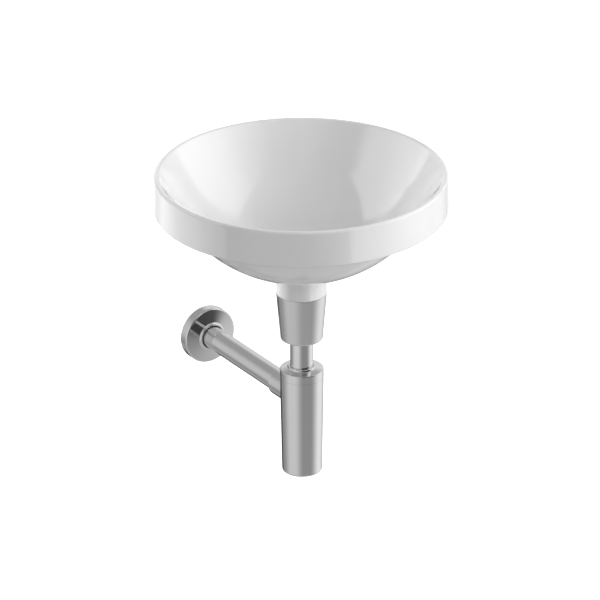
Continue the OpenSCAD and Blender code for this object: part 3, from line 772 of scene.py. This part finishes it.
def studio_floor():
    """Pale floor. The camera sees it glow as well as lit, so it is white away from shadows, and
    sees through it from below."""
    mesh = bpy.data.meshes.new("studio_floor")
    corners = [(-1, -1), (1, -1), (1, 1), (-1, 1)]
    mesh.from_pydata([(x * FLOOR_HALF, y * FLOOR_HALF, FLOOR_Z) for x, y in corners], [],
                     [(0, 1, 2, 3)])
    floor = bpy.data.objects.new("studio_floor", mesh)
    bpy.context.scene.collection.objects.link(floor)
    material = bpy.data.materials.new("studio_floor")
    material.use_nodes = True
    graph = Graph(material.node_tree)
    seen = graph.add("ShaderNodeLightPath", {}, {}, "Is Camera Ray")
    matt = graph.add("ShaderNodeBsdfDiffuse", {}, {"Color": grey(FLOOR_TONE)})
    glow = graph.add("ShaderNodeEmission", {}, {"Color": WHITE, "Strength": seen * FLOOR_GLOW})
    both = graph.add("ShaderNodeAddShader", {}, {0: matt, 1: glow})
    below = graph.add("ShaderNodeNewGeometry", {}, {}, "Backfacing")
    clear = graph.add("ShaderNodeBsdfTransparent", {}, {"Color": WHITE})
    surface = graph.add("ShaderNodeMixShader", {}, {0: below, 1: both, 2: clear})
    graph.add("ShaderNodeOutputMaterial", {}, {"Surface": surface})
    mesh.materials.append(material)
    floor.visible_glossy = False
    floor.visible_shadow = False


studio_floor()

# What polished metal mirrors: an even level, and what the floor and the sky add to it. Angles are
# in degrees, from the camera's own direction to the right, and upwards
METAL_BASE = 0.27
METAL_FLOOR = 0.22
FLOOR_FADE = (-50.0, -22.0)
METAL_SKY = 0.10
SKY_FADE = (10.0, 35.0)

# Soft panels: where each starts and ends and how far its edge fades, sideways and upwards, and how
# bright it is
MIRRORED = {
    "right_wall": ((78.0, 150.0, 30.0), (-36.5, 50.0, 12.0), 0.64),
    "left_wall": ((-93.0, -16.0, 26.0), (-33.0, 30.0, 12.0), 0.46),
    "left_band": ((-122.0, -92.0, 8.0), (-17.0, 27.0, 14.0), 0.26),
    "back_wall": ((155.0, 197.0, 10.0), (-15.0, 31.0, 10.0), 0.42),
}

# Darker patches, in the same way, with the share of the light that each takes away
SHADES = {
    "above_camera": ((2.0, 70.5, 6.0), (-20.0, 50.0, 7.0), 0.80),
    "behind_left": ((-190.0, -148.0, 10.0), (-55.0, -15.0, 8.0), 0.45),
    "low_behind_left": ((-181.0, -137.0, 8.0), (-40.0, -10.0, 6.0), 0.75),
}

# Even light on matt surfaces
AMBIENT = 0.188


def window(graph, across, level, sideways, upwards):
    """Soft rectangle on the sky: 1 inside, 0 outside, with a smooth step of the angle from its
    middle at each edge. across holds the parts to the right and towards the camera of the direction
    that is looked along, and level is its elevation."""
    side, front = across
    middle = math.radians((sideways[0] + sideways[1]) / 2)
    turned = (side * math.cos(middle) - front * math.sin(middle)).of(
        "ARCTAN2", front * math.cos(middle) + side * math.sin(middle)).of("ABSOLUTE")
    raised = (level - math.radians((upwards[0] + upwards[1]) / 2)).of("ABSOLUTE")
    result = None
    for value, (low, high, soft) in ((turned, sideways), (raised, upwards)):
        edge, fade = math.radians((high - low) / 2), math.radians(soft)
        part = value.ramp(edge - fade, edge + fade)
        result = 1.0 - part if result is None else result * (1.0 - part)
    return result


def studio_world():
    """White to the camera, an even grey for diffuse light, and soft panels for reflections."""
    world = bpy.data.worlds.new("studio_world")
    bpy.context.scene.world = world
    world.use_nodes = True
    graph = Graph(world.node_tree)
    way = graph.add("ShaderNodeTexCoord", {}, {}, "Generated")
    x, y, z = (way.part(name) for name in "xyz")
    across = (x * camera_right.x + y * camera_right.y, x * camera_level.x + y * camera_level.y)
    level = z.of("ARCSINE")
    glow = METAL_BASE + (1.0 - level.ramp(*map(math.radians, FLOOR_FADE))) * METAL_FLOOR
    glow = glow + level.ramp(*map(math.radians, SKY_FADE)) * METAL_SKY
    for sideways, upwards, strength in MIRRORED.values():
        glow = glow + window(graph, across, level, sideways, upwards) * strength
    for sideways, upwards, depth in SHADES.values():
        glow = glow * (1.0 - window(graph, across, level, sideways, upwards) * depth)
    camera_ray = graph.add("ShaderNodeLightPath", {}, {}, "Is Camera Ray")
    glossy_ray = graph.add("ShaderNodeLightPath", {}, {}, "Is Glossy Ray")
    seen = glossy_ray * glow + (1.0 - glossy_ray) * AMBIENT
    strength = camera_ray + (1.0 - camera_ray) * seen
    sky = graph.add("ShaderNodeBackground", {}, {"Color": WHITE, "Strength": strength})
    graph.add("ShaderNodeOutputWorld", {}, {"Surface": sky})


studio_world()


def point_at(side, front, height):
    """Point given from the basin's axis: to the right, towards the camera and up, in metres."""
    return camera_right * side + camera_level * front + Vector((0, 0, height))


def wall_panel(name, turns, heights, radiance, fades, receivers):
    """Upright sheet of light between two heights. Its ends stand PANEL_DISTANCE away, turns degrees
    to the right of the camera's own direction, and it fades out over a share of its width at each
    end. It only shows in the receivers' gloss: everything else looks through it, and it gives no
    diffuse light."""
    first, last = (point_at(PANEL_DISTANCE * math.sin(turn), PANEL_DISTANCE * math.cos(turn), 0)
                   for turn in map(math.radians, turns))
    mesh = bpy.data.meshes.new(name)
    mesh.from_pydata([(end.x, end.y, height) for height in heights for end in (first, last)], [],
                     [(0, 1, 3, 2)])
    sheet = bpy.data.objects.new(name, mesh)
    bpy.context.scene.collection.objects.link(sheet)
    material = bpy.data.materials.new(name)
    material.use_nodes = True
    material.cycles.emission_sampling = "NONE"
    graph = Graph(material.node_tree)
    place = graph.add("ShaderNodeTexCoord", {}, {}, "Object")
    along = (last - first) / (last - first).length_squared
    share = place.part("x") * along.x + place.part("y") * along.y - first.dot(along)
    strength = share.ramp(0.0, fades[0]) * (1.0 - share.ramp(1.0 - fades[1], 1.0)) * radiance
    light = graph.add("ShaderNodeEmission", {}, {"Color": WHITE, "Strength": strength})
    clear = graph.add("ShaderNodeBsdfTransparent", {}, {"Color": WHITE})
    both = graph.add("ShaderNodeAddShader", {}, {0: light, 1: clear})
    graph.add("ShaderNodeOutputMaterial", {}, {"Surface": both})
    mesh.materials.append(material)
    for kind in ("camera", "diffuse", "transmission", "volume_scatter", "shadow"):
        setattr(sheet, "visible_" + kind, False)
    sheet.light_linking.receiver_collection = receivers


def soft_lamp(name, place, size, radiance):
    """Square lamp that faces the basin, for diffuse light only: gloss doesn't show it. Its power is
    radiance * pi * area."""
    data = bpy.data.lights.new(name, "AREA")
    data.shape = "SQUARE"
    data.size = size
    data.energy = radiance * math.pi * size ** 2
    lamp = bpy.data.objects.new(name, data)
    bpy.context.scene.collection.objects.link(lamp)
    middle = point_at(*place)
    outward = middle.normalized()
    along = Vector((0, 1, 0)).cross(outward).normalized()
    turn = Matrix((along, outward.cross(along), outward)).transposed().to_4x4()
    lamp.matrix_world = Matrix.Translation(middle) @ turn
    lamp.visible_glossy = False


glazed_things = bpy.data.collections.new("glazed_things")
glazed_things.objects.link(basin)

# Panels mirrored in the glaze: azimuths of the ends, heights of the edges, radiance, and over which
# share of the width each end fades
PANEL_DISTANCE = 5.0
WALL_PANELS = {
    "right_low": ((36.6, 126.0), (-6.0, 0.0), 1.02, (0.03, 0.9)),
    "right_high": ((36.6, 126.0), (0.0, 4.6), 0.2, (0.03, 0.1)),
    "right_soft": ((36.0, 126.0), (0.0, 4.6), 0.73, (0.45, 0.1)),
    "left_low": ((-131.0, -58.0), (-6.0, 0.0), 0.76, (0.25, 0.05)),
    "left_high": ((-131.0, -56.0), (0.0, 4.5), 1.31, (0.1, 0.22)),
    "band_left": ((-150.0, -62.0), (-2.6, -0.6), 1.22, (0.4, 0.4)),
    "edge_left": ((-185.0, -110.0), (-2.6, -0.6), 0.35, (0.1, 0.4)),
    "edge_right": ((120.0, 185.0), (-2.6, -0.6), 0.17, (0.4, 0.1)),
    "end_right": ((150.0, 192.0), (-2.6, -0.6), 0.4, (0.4, 0.1)),
    "behind_left": ((-180.0, -118.0), (-2.4, 3.0), 0.7, (0.1, 0.3)),
    "under_left": ((-182.0, -131.0), (-6.0, -2.4), 0.14, (0.1, 0.1)),
    "under_right": ((126.0, 182.0), (-6.0, -2.4), 0.12, (0.1, 0.1)),
}

# Lamps for diffuse light: place (to the right, towards the camera, up), size, radiance
SOFT_LAMPS = {
    "above": ((0.0, 0.0, 2.4), 2.0, 0.76),
    "right_above": ((2.2, 0.0, 1.4), 1.6, 2.37),
    "left_above": ((-2.2, 0.0, 1.4), 1.6, 0.4),
    "right_side": ((2.4, 0.0, 0.7), 1.2, 5.0),
    "right_level": ((2.4, 0.3, -0.1), 0.8, 1.6),
    "left_back": ((-1.8, -1.8, 1.0), 1.2, 7.4),
    "right_front": ((1.6, 1.6, 0.3), 1.2, 1.03),
    "front_above": ((0.0, 2.2, 1.4), 1.6, 1.56),
}

for name, (turns, heights, radiance, fades) in WALL_PANELS.items():
    wall_panel(name, turns, heights, radiance, fades, glazed_things)
for name, (place, size, radiance) in SOFT_LAMPS.items():
    soft_lamp(name, place, size, radiance)

bpy.context.scene.view_settings.view_transform = "Standard"
